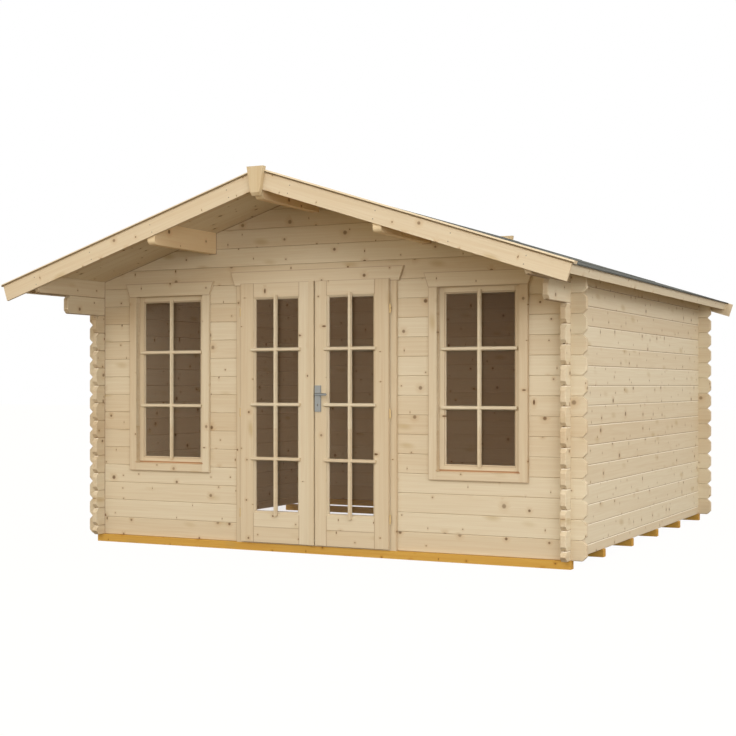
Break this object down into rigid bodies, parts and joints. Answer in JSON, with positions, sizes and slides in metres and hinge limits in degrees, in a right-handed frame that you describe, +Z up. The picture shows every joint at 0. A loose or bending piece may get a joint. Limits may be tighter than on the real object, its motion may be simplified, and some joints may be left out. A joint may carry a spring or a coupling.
{
  "type": "summer house",
  "caption": "Log summer house with interlocked corners, a felted saddle roof reaching out over the entrance, tall fixed windows and glazed doors that swing outward.",
  "frame": {"origin": "on the ground under the middle of the house's bounding box", "axes": "+X along the front wall to the viewer's right, +Y from the front wall to the back wall, +Z up"},
  "size_m": [4.3688, 4.861, 2.6668],
  "materials": {
    "spruce": "planed, unfinished",
    "roof_spruce": "planed, unfinished",
    "treated_spruce": "pressure treated",
    "roofing_felt": "mineral grit on bitumen",
    "clear_glass": "clear float glass",
    "grey_steel": "satin grey"
  },
  "bodies": {
    "cabin": {"floor_bearers": "treated_spruce", "front_wall_even_logs": "spruce", "front_wall_odd_logs": "spruce", "back_wall_even_logs": "spruce", "back_wall_odd_logs": "spruce", "left_wall_even_logs": "spruce", "left_wall_odd_logs": "spruce", "right_wall_even_logs": "spruce", "right_wall_odd_logs": "spruce", "ridge_purlin": "roof_spruce", "side_purlins": "roof_spruce", "left_roof_boards": "roof_spruce", "right_roof_boards": "roof_spruce", "left_roof_felt": "roofing_felt", "right_roof_felt": "roofing_felt", "ridge_felt": "roofing_felt", "eaves_boards": "spruce", "front_barge_boards": "spruce", "back_barge_boards": "spruce", "cap_strips": "spruce", "keystones": "spruce", "left_window_frame": "spruce", "right_window_frame": "spruce", "left_window_casing": "spruce", "right_window_casing": "spruce", "left_window_sash": "spruce", "right_window_sash": "spruce", "left_window_beads": "spruce", "right_window_beads": "spruce", "left_window_glass": "clear_glass", "right_window_glass": "clear_glass", "door_frame": "spruce", "door_casing": "spruce", "hinge_pins": "grey_steel"},
    "left_leaf": {"left_door_leaf": "spruce", "left_door_beads": "spruce", "left_door_glass": "clear_glass", "meeting_strip": "spruce", "left_hinge_sleeves": "grey_steel"},
    "right_leaf": {"right_door_leaf": "spruce", "right_door_beads": "spruce", "right_door_glass": "clear_glass", "right_hinge_sleeves": "grey_steel", "handle_plates": "grey_steel"},
    "lever": {"door_lever": "grey_steel"}
  },
  "joints": [
    {"name": "left_door_swing", "type": "hinge", "parent": "cabin", "child": "left_leaf", "pos_m": [-0.6075, -1.6055, 1.012], "axis": [0, 0, -1], "range_deg": [0, 110]},
    {"name": "right_door_swing", "type": "hinge", "parent": "cabin", "child": "right_leaf", "pos_m": [0.6075, -1.6055, 1.012], "axis": [0, 0, 1], "range_deg": [0, 110]},
    {"name": "lever_turn", "type": "hinge", "parent": "right_leaf", "child": "lever", "pos_m": [0.045, -1.591, 1.146], "axis": [0, 1, 0], "range_deg": [0, 45], "stiffness_Nm_per_rad": 2, "springref_deg": -20.05}
  ]
}
